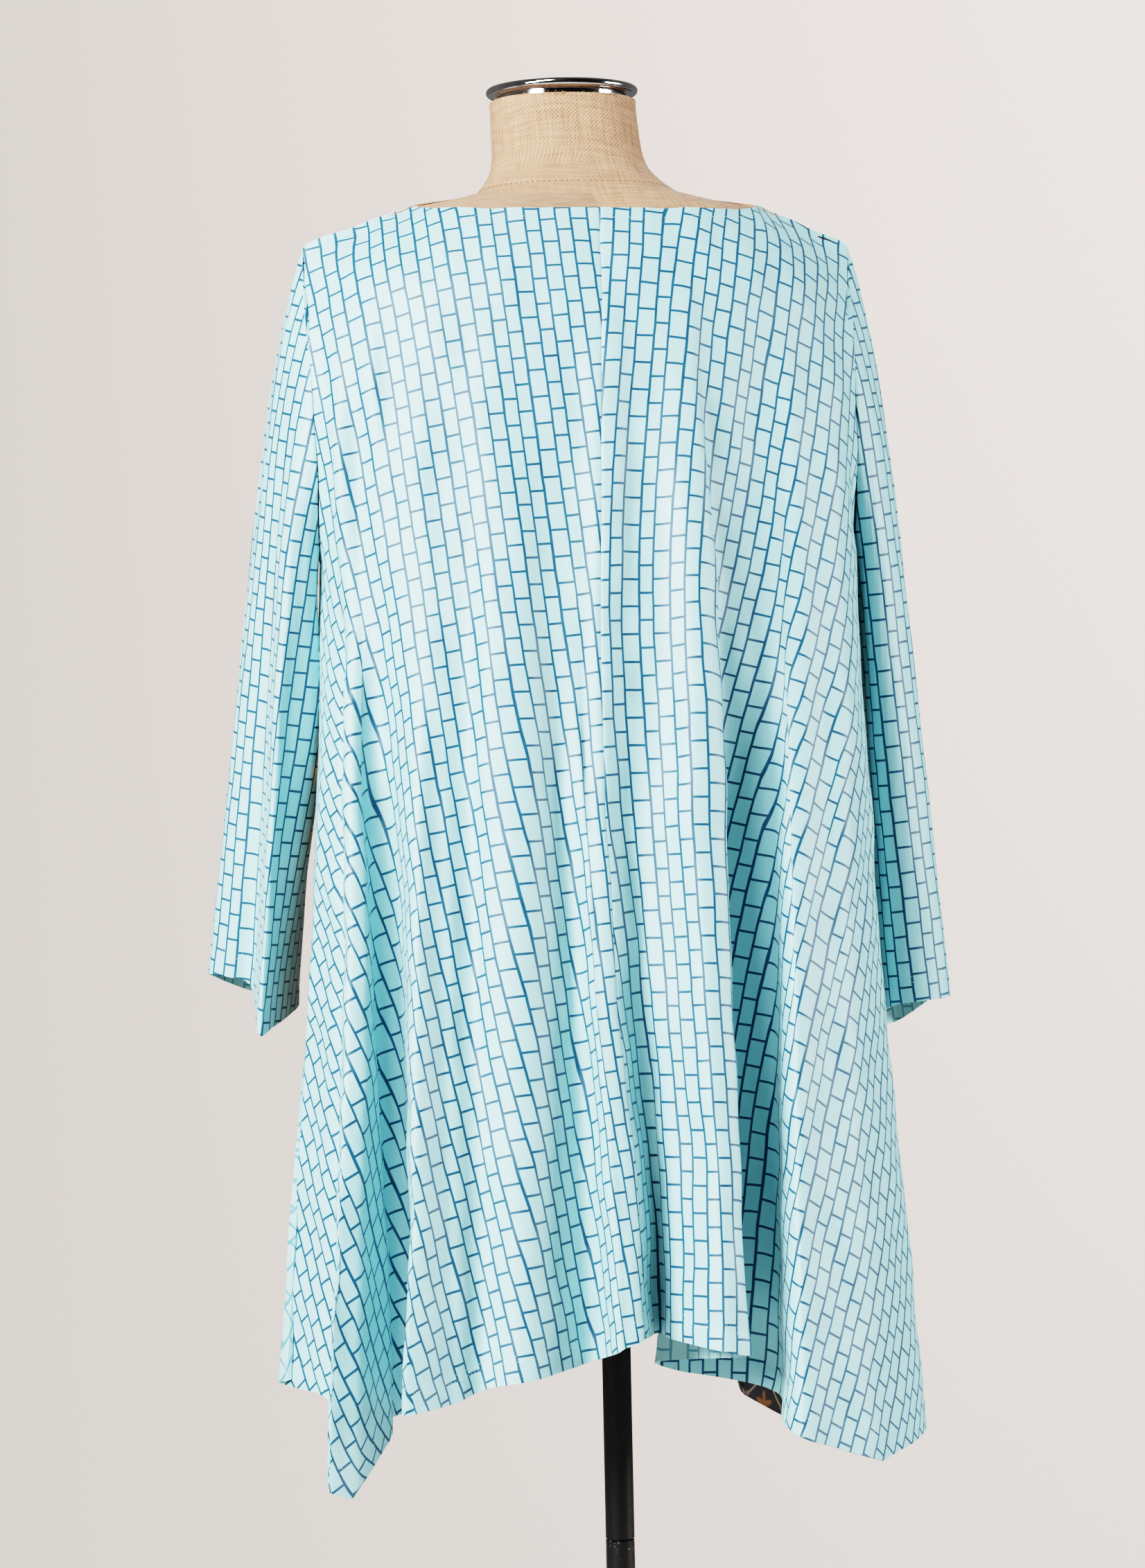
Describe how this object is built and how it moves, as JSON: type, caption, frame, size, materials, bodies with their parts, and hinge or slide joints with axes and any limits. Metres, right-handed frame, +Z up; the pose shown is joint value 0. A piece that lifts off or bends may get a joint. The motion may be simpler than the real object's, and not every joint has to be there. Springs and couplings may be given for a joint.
{
  "type": "tunic top on dress form",
  "caption": "Loose printed jersey tunic with wide sleeves, boat neck and pointed side hems, worn by a linen-covered limbless dress form on a pole with a round base.",
  "frame": {"origin": "on the floor, at the middle of the base's underside, under the pole", "axes": "+Z up along the pole, +Y towards the garment's front, +X towards the wearer's right"},
  "size_m": [0.5779, 0.3877, 1.5343],
  "materials": {
    "tunic_print": "smooth printed jersey, pale aqua with fine teal bricks",
    "front_print": "smooth printed jersey, near black with a cream lattice and small flowers",
    "form_linen": "plain-woven natural linen, matt",
    "cap_chrome": "polished",
    "pole_black": "satin black with small chips",
    "base_black": "satin black"
  },
  "bodies": {
    "root": {"back_left": "tunic_print", "back_right": "tunic_print", "front": "front_print", "sleeve_left": "tunic_print", "sleeve_right": "tunic_print", "form_torso": "form_linen", "neck_cap": "cap_chrome", "pole_upper": "pole_black", "pole_lower": "pole_black", "base": "base_black"}
  },
  "joints": []
}
